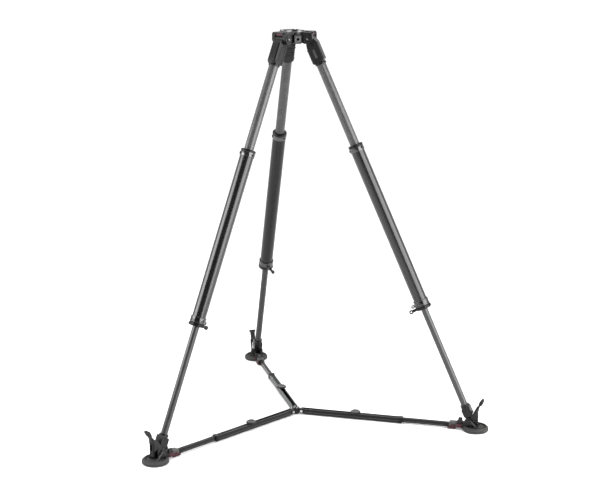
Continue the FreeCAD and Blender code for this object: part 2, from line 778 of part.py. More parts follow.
def arm_channel(leg, azimuth):
    """Slotted inner half of a spreader arm, forked over the hub's tongue."""
    bar = box(("hub_pivot", "channel_outer"), ("-channel_half", "channel_half"),
              ("channel_bottom", "channel_top"))
    end = rod("y", "(channel_top - channel_web) / 2", "-channel_half", "channel_half",
              ("hub_pivot", "arm_axis"))
    under = box(("0", "hub_pivot + 12"), ("-channel_half - 1", "channel_half + 1"),
                ("0", "channel_web"))
    lip = box(("channel_outer - 14", "channel_outer"), ("-lip_half", "lip_half"),
              ("channel_bottom", "channel_top + 1.5"))
    slot = box(("0", "channel_outer - 14"), ("-channel_slot", "channel_slot"),
               ("channel_web", "channel_top + 2"))
    mouth = box(("channel_outer - 15", "channel_outer + 1"), ("-channel_slot", "channel_slot"),
                ("channel_web", "rail_top + 0.3"))
    bore = rod("y", "hub_pin / 2 + running_gap", "-channel_half - 1", "channel_half + 1",
               ("hub_pivot", "arm_axis"))
    channel = cut(fuse(cut(fuse(bar, end), under), lip), slot, mouth, bore)
    finish(channel, "leg_%s_arm_channel" % leg, radial_frame(azimuth))


def arm_rail(leg, azimuth):
    """Outer half of a spreader arm, which slides in the channel."""
    bar = box(("rail_inner", "rail_outer"), ("-rail_half", "rail_half"),
              ("rail_bottom", "rail_top"))
    groove = box(("knob_reach + 25", "end_inner - 12"), ("-2", "2"),
                 ("rail_top - 4", "rail_top + 1"))
    stem_way = rod("z", "knob_stem / 2 + running_gap", "rail_top - 8", "rail_top + 1",
                   ("knob_reach", "0"))
    finish(cut(bar, groove, stem_way), "leg_%s_arm_rail" % leg, radial_frame(azimuth))


def arm_end(leg, azimuth):
    """Cast end that meets the shoe's nose."""
    outline = plate([
        ("end_inner", "channel_bottom"),
        ("end_outer", "channel_bottom"),
        ("end_outer", "end_top"),
        ("end_inner + 8", "end_top"),
        ("end_inner", "end_top - 5"),
    ], "end_half")
    pocket = box(("end_inner - 1", "rail_outer"), ("-rail_half", "rail_half"),
                 ("rail_bottom", "rail_top"))
    finish(cut(outline, pocket), "leg_%s_arm_end" % leg, radial_frame(azimuth))


def arm_latch(leg, azimuth):
    """Sliding catch that wraps the arm's cast end."""
    outline = plate([
        ("end_inner - 5", "channel_bottom - 0.5"),
        ("end_outer", "channel_bottom - 0.5"),
        ("end_outer", "arm_axis + 2"),
        ("end_outer - 6", "arm_axis + 5"),
        ("end_inner + 9", "arm_axis + 5"),
        ("end_inner + 3", "arm_axis - 3"),
        ("end_inner - 5", "arm_axis - 3"),
    ], "arm_latch_half")
    inside = box(("end_inner - 0.3", "end_outer"), ("-end_half - 0.2", "end_half + 0.2"),
                 ("0", "end_top"))
    rail_way = box(("end_inner - 10", "end_inner + 1"), ("-rail_half - 0.2", "rail_half + 0.2"),
                   ("rail_bottom - 0.2", "end_top"))
    finish(cut(outline, inside, rail_way), "leg_%s_arm_latch" % leg, radial_frame(azimuth))


def arm_knob(leg, azimuth):
    """Clamp knob whose stem passes through the channel's slot into the rail."""
    under = "channel_top + 0.6"
    section = [
        ("0", "rail_top - 7.5"),
        ("knob_stem / 2", "rail_top - 7.5"),
        ("knob_stem / 2", under),
        ("knob_dia / 2 - 1.5", under),
        ("knob_dia / 2", under + " + 1.5"),
        ("knob_dia / 2", "knob_top - 3"),
        ("knob_dia / 2 - 1.2", "knob_top - 1"),
        ("knob_dia / 2 - 3.5", "knob_top"),
        ("0", "knob_top"),
    ]
    centre = FreeCAD.Placement(FreeCAD.Vector(size("knob_reach"), 0, 0), FreeCAD.Rotation())
    place = radial_frame(azimuth).multiply(centre)
    finish(revolved("arm_knob", section), "leg_%s_arm_knob" % leg, place)


# ---------------------------------------------------------------- assembly

crown_casting()
bowl_insert()
hinge_bolts()
hub_pieces()
for leg, azimuth in LEGS.items():
    frame = leg_frame(azimuth)
    angle_latch(leg, azimuth)
    top_casting(leg, azimuth)
    upper_stage(leg, frame)
    collar(leg, frame)
    middle_tube(leg, frame)
    lock_housing(leg, frame)
    lock_ring(leg, frame)
    lower_stage(leg, frame)
    shoe_disc(leg, azimuth)
    shoe_block(leg, azimuth)
    foot_strap(leg, azimuth)
    arm_channel(leg, azimuth)
    arm_rail(leg, azimuth)
    arm_end(leg, azimuth)
    arm_latch(leg, azimuth)
    arm_knob(leg, azimuth)
doc.recompute()

for obj in doc.Objects:
    if "Invalid" in obj.State or "Error" in obj.State:
        raise RuntimeError("%s did not build: %s" % (obj.Label, obj.State))
for piece in pieces:
    if piece.Shape.isNull() or not piece.Shape.isValid() or not piece.Shape.Solids:
        raise RuntimeError("%s has no valid solid" % piece.Label)

os.makedirs("parts", exist_ok=True)
for piece in pieces:
    piece.Shape.exportStep(os.path.join("parts", piece.Label + ".step"))
print("%d pieces written" % len(pieces))
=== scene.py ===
"""The looks of the tripod: finishes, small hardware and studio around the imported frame."""
import json
import math

import bmesh
import bpy
from mathutils import Matrix, Vector

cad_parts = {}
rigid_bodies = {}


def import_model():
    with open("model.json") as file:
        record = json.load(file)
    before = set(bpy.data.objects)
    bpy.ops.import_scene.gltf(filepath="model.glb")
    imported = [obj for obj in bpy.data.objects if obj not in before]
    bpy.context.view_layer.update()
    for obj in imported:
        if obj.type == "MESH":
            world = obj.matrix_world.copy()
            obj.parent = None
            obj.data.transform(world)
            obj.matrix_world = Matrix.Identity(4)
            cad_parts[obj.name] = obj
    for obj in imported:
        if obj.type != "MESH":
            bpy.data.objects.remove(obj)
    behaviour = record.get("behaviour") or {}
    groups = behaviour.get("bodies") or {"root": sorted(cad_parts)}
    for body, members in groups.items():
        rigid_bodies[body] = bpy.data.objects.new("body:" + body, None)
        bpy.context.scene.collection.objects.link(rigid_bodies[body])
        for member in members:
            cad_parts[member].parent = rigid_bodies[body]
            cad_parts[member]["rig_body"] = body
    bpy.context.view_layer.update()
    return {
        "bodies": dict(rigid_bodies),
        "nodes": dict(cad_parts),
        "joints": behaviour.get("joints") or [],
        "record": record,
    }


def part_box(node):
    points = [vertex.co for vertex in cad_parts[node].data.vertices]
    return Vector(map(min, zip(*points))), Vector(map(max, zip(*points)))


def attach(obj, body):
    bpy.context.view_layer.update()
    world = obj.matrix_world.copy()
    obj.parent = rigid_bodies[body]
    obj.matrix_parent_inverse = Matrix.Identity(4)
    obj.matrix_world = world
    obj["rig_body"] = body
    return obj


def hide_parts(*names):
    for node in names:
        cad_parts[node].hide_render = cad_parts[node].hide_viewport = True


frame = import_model()
LEGS = ("a", "b", "c")
JOINTS = {joint["name"]: joint for joint in frame["joints"]}


# ---------------------------------------------------------------- places


def leg_matrix(leg):
    """Origin on the leg's hinge, +Z up the leg, +Y along the hinge, +X outwards."""
    hinge = JOINTS["leg_%s_spread" % leg]
    up = Vector(JOINTS["leg_%s_upper_slide" % leg]["axis"])
    along = -Vector(hinge["axis"])
    out = along.cross(up)
    turn = Matrix((out, along, up)).transposed().to_4x4()
    return Matrix.Translation(Vector(hinge["pos_m"])) @ turn


def radial_matrix(leg):
    """Origin on the floor under the crown, +X towards the leg's shoe."""
    out = Vector(JOINTS["angle_latch_%s_pull" % leg]["axis"])
    return Matrix.Rotation(math.atan2(out.y, out.x), 4, "Z")


def quarter_turns(*axes):
    """Quarter turns about the named axes, the first one outermost."""
    turn = Matrix.Identity(4)
    for axis in axes:
        turn = turn @ Matrix.Rotation(math.radians(90), 4, axis)
    return turn


LEG = {leg: leg_matrix(leg) for leg in LEGS}
RADIAL = {leg: radial_matrix(leg) for leg in LEGS}


# ---------------------------------------------------------------- materials

class Finish:
    """A material and a short way to add its nodes."""

    def __init__(self, name, **sockets):
        self.material = bpy.data.materials.new(name)
        self.material.use_nodes = True
        self.tree = self.material.node_tree
        self.shader = self.tree.nodes["Principled BSDF"]
        for socket, value in sockets.items():
            self.shader.inputs[socket.replace("_", " ")].default_value = value
        self.place = self.node("ShaderNodeTexCoord").outputs["Object"]

    def node(self, kind, **settings):
        made = self.tree.nodes.new(kind)
        for key, value in settings.items():
            setattr(made, key, value)
        return made

    def link(self, value, socket):
        if isinstance(value, bpy.types.NodeSocket):
            self.tree.links.new(value, socket)
        else:
            socket.default_value = value

    def into(self, name, value):
        self.link(value, self.shader.inputs[name])

    def math(self, operation, first, second=0.0):
        made = self.node("ShaderNodeMath", operation=operation)
        self.link(first, made.inputs[0])
        self.link(second, made.inputs[1])
        return made.outputs[0]

    def mapped(self, matrix, scale=(1, 1, 1)):
        """The object's coordinates seen in another frame."""
        inverse = matrix.inverted()
        made = self.node("ShaderNodeMapping")
        self.link(self.place, made.inputs["Vector"])
        made.inputs["Location"].default_value = inverse.to_translation()
        made.inputs["Rotation"].default_value = inverse.to_euler()
        stretched = self.node("ShaderNodeVectorMath", operation="MULTIPLY")
        self.link(made.outputs[0], stretched.inputs[0])
        stretched.inputs[1].default_value = scale
        return stretched.outputs[0]

    def noise(self, scale, detail=3.0, place=None):
        made = self.node("ShaderNodeTexNoise")
        self.link(place or self.place, made.inputs["Vector"])
        made.inputs["Scale"].default_value = scale
        made.inputs["Detail"].default_value = detail
        return made.outputs["Fac"]

    def between(self, value, low, high, out_low, out_high):
        made = self.node("ShaderNodeMapRange")
        self.link(value, made.inputs["Value"])
        for socket, number in zip(("From Min", "From Max", "To Min", "To Max"),
                                  (low, high, out_low, out_high)):
            made.inputs[socket].default_value = number
        return made.outputs["Result"]

    def mix(self, factor, first, second):
        made = self.node("ShaderNodeMix", data_type="RGBA")
        self.link(factor, made.inputs["Factor"])
        self.link(first, made.inputs["A"])
        self.link(second, made.inputs["B"])
        return made.outputs["Result"]

    def bump(self, height, distance, strength=1.0, normal=None):
        made = self.node("ShaderNodeBump")
        self.link(height, made.inputs["Height"])
        made.inputs["Distance"].default_value = distance
        made.inputs["Strength"].default_value = strength
        if normal:
            self.link(normal, made.inputs["Normal"])
        return made.outputs["Normal"]


def grey(level, tint=0.0):
    """A grey colour, slightly warm or cool."""
    return (level * (1 + tint), level, level * (1 - tint), 1.0)


def coated(name, level, rough, grain=900.0, depth=0.00006, metal=0.0, shine=0.3):
    """Painted or moulded surface with a fine grain and faint patches."""
    finish = Finish(name, Metallic=metal, Specular_IOR_Level=shine)
    patches = finish.noise(28.0, 4.0)
    fine = finish.noise(grain, 2.0)
    tone = finish.mix(finish.between(patches, 0.3, 0.7, 0.0, 1.0), grey(level * 0.82), grey(level * 1.2))
    finish.into("Base Color", tone)
    finish.into("Roughness", finish.between(patches, 0.3, 0.7, rough - 0.06, rough + 0.06))
    finish.into("Normal", finish.bump(fine, depth, 0.5))
    return finish.material


# Leg C's copies of the carbon get a weaker coat and specular so that its tubes read darker. This is
# painted shade on the rear leg, not a different finish.
GLOSS_WITH_PAINTED_SHADE = {"a": 1.0, "b": 1.0, "c": 0.45}


def carbon(name, leg, radius, tows, dark, light, rough):
    """Clear-coated twill of carbon tows, wound round one leg's tube."""
    # Coat and specular are scaled for each leg; leg C's lower factor paints shade on its tubes.
    shade_gloss = GLOSS_WITH_PAINTED_SHADE[leg]
    finish = Finish(name, Coat_Weight=0.4 * shade_gloss, Coat_Roughness=0.10, Specular_IOR_Level=0.35 * shade_gloss)
    place = finish.node("ShaderNodeSeparateXYZ")
    finish.link(finish.mapped(LEG[leg]), place.inputs[0])
    turn = finish.math("ARCTAN2", place.outputs["Y"], place.outputs["X"])
    round_way = finish.math("MULTIPLY", turn, tows / math.tau)
    long_way = finish.math("MULTIPLY", place.outputs["Z"], tows / (math.tau * radius))
    first = finish.math("ADD", round_way, long_way)
    second = finish.math("SUBTRACT", round_way, long_way)
    step = finish.math("SUBTRACT", finish.math("FLOOR", first), finish.math("FLOOR", second))
    over = finish.math("LESS_THAN", finish.math("FLOORED_MODULO", step, 4.0), 2.0)
    first_tow = finish.math("ABSOLUTE", finish.math("SUBTRACT", finish.math("FRACT", first), 0.5))
    second_tow = finish.math("ABSOLUTE", finish.math("SUBTRACT", finish.math("FRACT", second), 0.5))
    chosen = finish.node("ShaderNodeMix", data_type="FLOAT")
    finish.link(over, chosen.inputs["Factor"])
    finish.link(first_tow, chosen.inputs["A"])
    finish.link(second_tow, chosen.inputs["B"])
    tow = chosen.outputs["Result"]
    cloud = finish.between(finish.noise(60.0, 3.0), 0.3, 0.7, -0.25, 0.25)
    shade = finish.math("ADD", finish.math("MULTIPLY", over, 0.8), cloud)
    finish.into("Base Color", finish.mix(shade, grey(dark), grey(light)))
    finish.into("Roughness", finish.between(over, 0.0, 1.0, rough, rough + 0.12))
    finish.into("Normal", finish.bump(finish.math("MULTIPLY", tow, tow), 0.0003, 0.35))
    return finish.material


def rubber(name, level):
    """Matt rubber with a little dust."""
    finish = Finish(name, Specular_IOR_Level=0.35)
    dust = finish.noise(45.0, 5.0)
    fine = finish.noise(1400.0, 2.0)
    finish.into("Base Color", finish.mix(finish.between(dust, 0.4, 0.75, 0.0, 1.0),
                                         grey(level), grey(level * 1.7, 0.03)))
    finish.into("Roughness", finish.between(dust, 0.3, 0.7, 0.62, 0.82))
    finish.into("Normal", finish.bump(fine, 0.0001, 0.5))
    return finish.material


def anodised(name, matrix, level, rough, metal=0.3):
    """Anodised extrusion, drawn along its own +X."""
    finish = Finish(name, Metallic=metal, Specular_IOR_Level=0.22)
    along = finish.mapped(matrix, (6.0, 900.0, 900.0))
    drawn = finish.noise(1.0, 3.0, along)
    patches = finish.noise(20.0, 3.0)
    finish.into("Base Color", finish.mix(patches, grey(level * 0.85), grey(level * 1.15)))
    finish.into("Roughness", finish.between(drawn, 0.3, 0.7, rough - 0.08, rough + 0.08))
    finish.into("Normal", finish.bump(drawn, 0.00004, 0.4))
    return finish.material


def red_finish(name):
    """Deep red anodised trim."""
    finish = Finish(name, Metallic=0.2, Coat_Weight=0.15, Coat_Roughness=0.2, Specular_IOR_Level=0.3)
    patches = finish.noise(35.0, 3.0)
    finish.into("Base Color", finish.mix(patches, (0.024, 0.0018, 0.005, 1), (0.046, 0.0034, 0.009, 1)))
    finish.into("Roughness", finish.between(patches, 0.3, 0.7, 0.34, 0.46))
    finish.into("Normal", finish.bump(finish.noise(800.0), 0.00005, 0.3))
    return finish.material


def steel(name, level=0.5, rough=0.28):
    """Machined steel."""
    finish = Finish(name, Metallic=1.0)
    marks = finish.noise(500.0, 4.0)
    finish.into("Base Color", finish.mix(marks, grey(level * 0.8), grey(level * 1.1)))
    finish.into("Roughness", finish.between(marks, 0.3, 0.7, rough - 0.08, rough + 0.1))
    finish.into("Normal", finish.bump(marks, 0.00003, 0.4))
    return finish.material


MATERIALS = {
    "casting": coated("cast magnesium, black powder coat", 0.0055, 0.30, 700.0, 0.00006, shine=0.24),
    "bush": coated("bush plastic", 0.012, 0.5),
    "collar": coated("black moulded plastic", 0.0035, 0.26, 1100.0, shine=0.2),
    "lock_ring": coated("black ring plastic", 0.004, 0.28, 1100.0, shine=0.25),
    "sole_rubber": rubber("sole rubber", 0.028),
    "shoe_plastic": coated("shoe plastic", 0.0095, 0.42, shine=0.25),
    "strap_rubber": rubber("strap rubber", 0.0065),
    "arm_end_grey": coated("grey clip", 0.060, 0.38),
    "knob_plastic": coated("knob plastic", 0.0075, 0.40),
    "red_accent": red_finish("deep red trim"),
    "bowl_alloy": coated("machined bowl", 0.16, 0.30, 700.0, 0.00003, 0.8),
    "steel": steel("steel"),
    "black_screw": steel("black oxide screws", 0.035, 0.34),
    "collar_band": coated("collar band", 0.012, 0.14, 1100.0, shine=0.9),
    "brace": coated("moulded brace", 0.05, 0.35),
    # The knob cap is lighter than the knob: a painted highlight on the knob's top.
    "knob_cap": coated("knob cap", 0.10, 0.22, shine=0.5),
    "lock_sleeve": coated("lock sleeve", 0.005, 0.17, 1100.0, shine=0.7),
    "panel": coated("plain side panel", 0.035, 0.35),
    # Lighter strips along the arms' edges: painted highlights where the edges catch the light.
    "trim": coated("painted edge highlight", 0.055, 0.24, shine=0.5),
}
TUBE_WEAVES = (
    ("upper", 0.0175, 36, 0.030, 0.075, 0.30),
    ("middle", 0.025, 52, 0.0035, 0.009, 0.20),
    ("lower", 0.0125, 26, 0.014, 0.04, 0.28),
)
for leg in LEGS:
    for stage, radius, tows, dark, light, rough in TUBE_WEAVES:
        name = "%s carbon %s" % (stage, leg)
        MATERIALS["carbon_%s_%s" % (stage, leg)] = carbon(name, leg, radius, tows, dark, light, rough)
    MATERIALS["arm_black_" + leg] = anodised("arm channel " + leg, RADIAL[leg], 0.006, 0.28)
    MATERIALS["arm_grey_" + leg] = anodised("arm rail " + leg, RADIAL[leg], 0.009, 0.28)


OWN_FINISH = {"hinge_bolts": "black_screw"}
OWN_FINISH.update({"leg_%s_lock_housing" % leg: "lock_sleeve" for leg in LEGS})


def finish_for(slot, node):
    """The material for a slot or a node of its own; carbon and arms have one for each leg."""
    slot = OWN_FINISH.get(node, slot)
    if slot in MATERIALS:
        return MATERIALS[slot]
    return MATERIALS["%s_%s" % (slot, node.split("_")[1])]


SLOT_OF = {part["node"]: part["material_slot"] for part in frame["record"]["subparts"]}
for part in frame["record"]["subparts"]:
    mesh = frame["nodes"][part["node"]].data
    mesh.materials.clear()
    mesh.materials.append(finish_for(part["material_slot"], part["node"]))


# ---------------------------------------------------------------- mesh helpers


def add_lathe(form, matrix, profile, steps=48, closed=False):
    """Turns (radius, height) points round +Z; a third number gives a ring that many flat sides."""
    rings = []
    for radius, height, *sides in profile:
        ring = []
        for step in range(steps if radius else 1):
            turn = math.tau * step / steps
            reach = radius
            if sides:
                part = math.tau / sides[0]
                reach = radius * math.cos(part / 2) / math.cos(turn % part - part / 2)
            point = Vector((reach * math.cos(turn), reach * math.sin(turn), height))
            ring.append(form.verts.new(matrix @ point))
        rings.append(ring)
    pairs = list(zip(rings, rings[1:]))
    if closed:
        pairs.append((rings[-1], rings[0]))
    for low, high in pairs:
        for step in range(steps):
            after = (step + 1) % steps
            corners = [low[step % len(low)], low[after % len(low)],
                       high[after % len(high)], high[step % len(high)]]
            form.faces.new(list(dict.fromkeys(corners)))


def add_prism(form, matrix, outline, low, high, bevel=0.0, steps=2):
    """Extrudes an outline of (x, y) points along +Z and rounds its edges."""
    bottom = [form.verts.new(matrix @ Vector((x, y, low))) for x, y in outline]
    top = [form.verts.new(matrix @ Vector((x, y, high))) for x, y in outline]
    faces = [form.faces.new(bottom[::-1]), form.faces.new(top)]
    for index in range(len(outline)):
        after = (index + 1) % len(outline)
        faces.append(form.faces.new((bottom[index], bottom[after], top[after], top[index])))
    if bevel:
        edges = list({edge for face in faces for edge in face.edges})
        bmesh.ops.bevel(form, geom=edges, offset=bevel, segments=steps, profile=0.6, affect="EDGES",
                        clamp_overlap=True)


def mirrored(inner, outer):
    """The two spans from inner to outer, one on each side of zero, the negative one first."""
    return (-outer, -inner), (inner, outer)


def add_block(form, matrix, low, high, bevel=0.0005, steps=2):
    """A rounded block between two corners."""
    outline = [(low[0], low[1]), (high[0], low[1]), (high[0], high[1]), (low[0], high[1])]
    add_prism(form, matrix, outline, low[2], high[2], bevel, steps)


def add_screw(form, matrix, radius, height):
    """Socket screw head standing on the frame's XY plane."""
    edge = radius * 0.15
    add_lathe(form, matrix, [
        (0, 0), (radius, 0), (radius, height - edge), (radius - edge, height),
        (radius * 0.56, height, 6), (radius * 0.52, height * 0.35, 6), (0, height * 0.3)], 24)


def add_bolt_dome(form, matrix, radius, height):
    """Domed bolt head standing on the frame's XY plane."""
    rows = [(0, 0), (radius, 0), (radius, height * 0.3)]
    for step in range(1, 6):
        turn = math.radians(90 * step / 6)
        rows.append((radius * math.cos(turn), height * (0.3 + 0.7 * math.sin(turn))))
    rows.append((radius * 0.36, height * 0.98, 6))
    rows.append((radius * 0.33, height * 0.5, 6))
    rows.append((0, height * 0.45))
    add_lathe(form, matrix, rows, 24)


def ring_profile(inner, outer, low, high, edge, corners=4):
    """Closed section of a ring with rounded corners."""
    points = []
    for x, z, start in ((outer - edge, low + edge, -90), (outer - edge, high - edge, 0),
                        (inner + edge, high - edge, 90), (inner + edge, low + edge, 180)):
        for step in range(corners + 1):
            turn = math.radians(start + 90 * step / corners)
            points.append((x + edge * math.cos(turn), z + edge * math.sin(turn)))
    return points


def new_piece(name, form, body, slot, material=None, replaced=(), sharp=32):
    """Turns a bmesh into a piece that rides on a body."""
    bmesh.ops.recalc_face_normals(form, faces=form.faces)
    name = name.replace(" ", "_")
    mesh = bpy.data.meshes.new(name)
    form.to_mesh(mesh)
    form.free()
    mesh.polygons.foreach_set("use_smooth", [True] * len(mesh.polygons))
    mesh.set_sharp_from_angle(angle=math.radians(sharp))
    mesh.materials.append(material or MATERIALS[slot])
    piece = bpy.data.objects.new(name, mesh)
    bpy.context.scene.collection.objects.link(piece)
    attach(piece, body)
    if replaced:
        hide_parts(*replaced)
    return piece


def softened(node, width):
    """The CAD node's own shape with its edges rounded."""
    source = frame["nodes"][node]
    slot = SLOT_OF[node]
    form = bmesh.new()
    form.from_mesh(source.data)
    bmesh.ops.remove_doubles(form, verts=form.verts, dist=0.000005)
    bmesh.ops.dissolve_limit(form, angle_limit=math.radians(0.6), verts=form.verts, edges=form.edges)
    piece = new_piece("soft_" + node, form, source["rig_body"], slot, finish_for(slot, node), [node])
    round_off = piece.modifiers.new("rounding", "BEVEL")
    round_off.width = width
    round_off.segments = 2
    round_off.limit_method = "ANGLE"
    round_off.angle_limit = math.radians(28)
    round_off.harden_normals = True
    round_off.use_clamp_overlap = True
    return piece


def place(x=0.0, y=0.0, z=0.0, turn="z"):
    """A frame at a point whose +Z looks along the named axis; a minus sign turns it round."""
    looks = {"x": Vector((1, 0, 0)), "y": Vector((0, 1, 0)), "z": Vector((0, 0, 1))}[turn[-1]]
    if turn[0] == "-":
        looks = -looks
    spin = looks.to_track_quat("Z", "Y").to_matrix().to_4x4()
    return Matrix.Translation((x, y, z)) @ spin


# ---------------------------------------------------------------- crown

BOWL_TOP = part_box("bowl_insert")[1].z
HINGE_REACH = 0.060
HINGE_HEIGHT = JOINTS["leg_a_spread"]["pos_m"][2]
EAR_FACE = 0.034
BOLT_FACE = 0.0365
BOLT_PIN = [(0, 0), (0.0019, 0), (0.0019, 0.0026), (0.0014, 0.0031), (0, 0.0032)]
LATCH_TOP = 0.0243
ACCESSORY_FACE = -0.057


def bowl_rim():
    """Rounded crown casting and the grooves in the bowl's machined rim."""
    softened("crown_casting", 0.0011)
    form = bmesh.new()
    for radius in (0.0405, 0.0425):
        groove = ring_profile(radius - 0.0006, radius + 0.0002, -0.0006, 0.0003, 0.0002)
        add_lathe(form, Matrix.Translation((0, 0, BOWL_TOP)), groove, 96, True)
    new_piece("bowl rim grooves", form, "crown", "steel", MATERIALS["bowl_alloy"])


def crown_ears():
    """Bosses, bolt heads and pins on both sides of each hinge, and the screws above them."""
    bosses = bmesh.new()
    bolts = bmesh.new()
    pins = bmesh.new()
    screws = bmesh.new()
    for leg in LEGS:
        for side, way in ((1, "y"), (-1, "-y")):
            face = RADIAL[leg] @ place(HINGE_REACH, side * EAR_FACE, HINGE_HEIGHT, way)
            bolt = RADIAL[leg] @ place(HINGE_REACH, side * BOLT_FACE, HINGE_HEIGHT, way)
            add_lathe(bosses, face, ring_profile(0.0088, 0.0145, -0.001, 0.0026, 0.0008), 64, True)
            add_bolt_dome(bolts, bolt, 0.0062, 0.0030)
            add_lathe(pins, bolt, BOLT_PIN, 20)
            screw = RADIAL[leg] @ place(0.040, side * 0.0265, BOWL_TOP - 0.0016)
            add_screw(screws, screw, 0.0022, 0.0010)
    new_piece("ear bosses", bosses, "crown", "casting")
    new_piece("hinge bolt heads", bolts, "crown", "steel", MATERIALS["black_screw"])
    new_piece("hinge bolt pins", pins, "crown", "steel")
    new_piece("crown screws", screws, "crown", "steel", MATERIALS["black_screw"])


def latch_cover(leg):
    """Rounded angle latch under a cover with two horns and four ribs."""
    softened("angle_latch_%s" % leg, 0.0007)
    base = RADIAL[leg] @ Matrix.Translation((0, 0, HINGE_HEIGHT))
    form = bmesh.new()
    add_block(form, base, (0.0560, -0.0203, 0.0214), (0.0733, 0.0203, LATCH_TOP), 0.0007)
    for near, far in mirrored(0.0158, 0.0208):
        add_block(form, base, (0.0690, near, 0.0130), (0.0762, far, LATCH_TOP), 0.0007)
    for reach in (0.0590, 0.0620, 0.0650, 0.0680):
        add_block(form, base, (reach - 0.0007, -0.0150, LATCH_TOP - 0.0003),
                  (reach + 0.0007, 0.0150, LATCH_TOP + 0.0006), 0.0003)
    new_piece("latch cover " + leg, form, "angle_latch_" + leg, "casting")


def accessory_rim():
    """Round and square rims about the accessory hole in the crown's front."""
    form = bmesh.new()
    mouth = Matrix.Translation((0, ACCESSORY_FACE, HINGE_HEIGHT)) @ place(turn="-y")
    add_lathe(form, mouth, ring_profile(0.0049, 0.0072, -0.0006, 0.0008, 0.0004), 40, True)
    square = mouth @ Matrix.Rotation(math.radians(45), 4, "Z")
    add_lathe(form, square, [(0.0070, -0.0006), (0.0160, -0.0006, 4), (0.0160, 0.0004, 4),
                             (0.0155, 0.0007, 4), (0.0070, 0.0007)], 48, True)
    new_piece("accessory hole rim", form, "crown", "casting", MATERIALS["brace"])


# ---------------------------------------------------------------- legs

CASTING_FACE = -0.0222
CASTING_SIDE = 0.0199


def top_details(leg):
    """Casting of a leg's top: rounded body, ribs, screws, clamp ring and plain panels."""
    body = "leg_%s_upper" % leg
    softened("leg_%s_top_casting" % leg, 0.0012)
    form = bmesh.new()
    for height in (-0.046, -0.056, -0.066):
        add_block(form, LEG[leg], (-0.0250, -0.013, height - 0.002),
                  (CASTING_FACE, 0.013, height + 0.002), 0.0008)
    add_lathe(form, LEG[leg], ring_profile(0.0176, 0.0206, -0.1010, -0.0925, 0.0010), 64, True)
    for near, far in mirrored(0.0098, 0.0122):
        add_block(form, LEG[leg], (-0.0248, near, -0.0880), (CASTING_FACE, far, -0.0400), 0.0006)
    add_block(form, LEG[leg], (-0.0256, -0.0150, -0.0400), (CASTING_FACE, 0.0150, -0.0368), 0.0008)
    add_block(form, LEG[leg], (-0.0240, -0.0070, -0.0880), (CASTING_FACE, 0.0070, -0.0720), 0.0006)
    new_piece("top ribs " + leg, form, body, "casting")
    panel = bmesh.new()
    add_block(panel, LEG[leg], (-0.0048, -0.0213, -0.0740), (0.0048, -0.0204, -0.0420), 0.0003)
    new_piece("side panel " + leg, panel, body, "casting", MATERIALS["panel"])
    screws = bmesh.new()
    for side, way in ((1, "y"), (-1, "-y")):
        for x, height in ((-0.0145, -0.040), (-0.0145, -0.084), (0.0150, -0.084)):
            add_screw(screws, LEG[leg] @ place(x, side * CASTING_SIDE, height, way), 0.0028, 0.0018)
    new_piece("casting screws " + leg, screws, body, "steel", MATERIALS["black_screw"])


COLLAR_SCREW_HEIGHT = -0.4290


def collar_details(leg):
    """Wiper lip, band and screw bosses on top of the middle tube."""
    body = "leg_%s_middle" % leg
    form = bmesh.new()
    add_lathe(form, LEG[leg], ring_profile(0.0180, 0.0272, -0.4185, -0.4115, 0.0032), 72, True)
    new_piece("wiper lip " + leg, form, body, "collar")
    form = bmesh.new()
    add_lathe(form, LEG[leg], ring_profile(0.0252, 0.0271, -0.4375, -0.4205, 0.0008), 72, True)
    new_piece("collar band " + leg, form, body, "collar", MATERIALS["collar_band"])
    bosses = bmesh.new()
    screws = bmesh.new()
    for step in range(3):
        turn = Matrix.Rotation(math.radians(90 + 120 * step), 4, "Z")
        add_lathe(bosses, LEG[leg] @ turn @ place(0.0262, 0, COLLAR_SCREW_HEIGHT, "x"),
                  ring_profile(0.0001, 0.0046, -0.001, 0.0024, 0.0008), 32, True)
        add_screw(screws, LEG[leg] @ turn @ place(0.0284, 0, COLLAR_SCREW_HEIGHT, "x"), 0.0028, 0.0010)
    new_piece("collar bosses " + leg, bosses, body, "collar")
    new_piece("collar screws " + leg, screws, body, "steel", MATERIALS["black_screw"])


LOCK_TURN = {"a": 0.0, "b": math.radians(15), "c": math.radians(25)}
LOCK_GRIPS = 40
LOCK_EAR_GAP = 34
LOCK_SCREW_HEIGHT = -1.0365
SLEEVE_EYE = (-0.0360, 0, -1.0430)
RING_EYE = (-0.0480, 0, -1.05715)


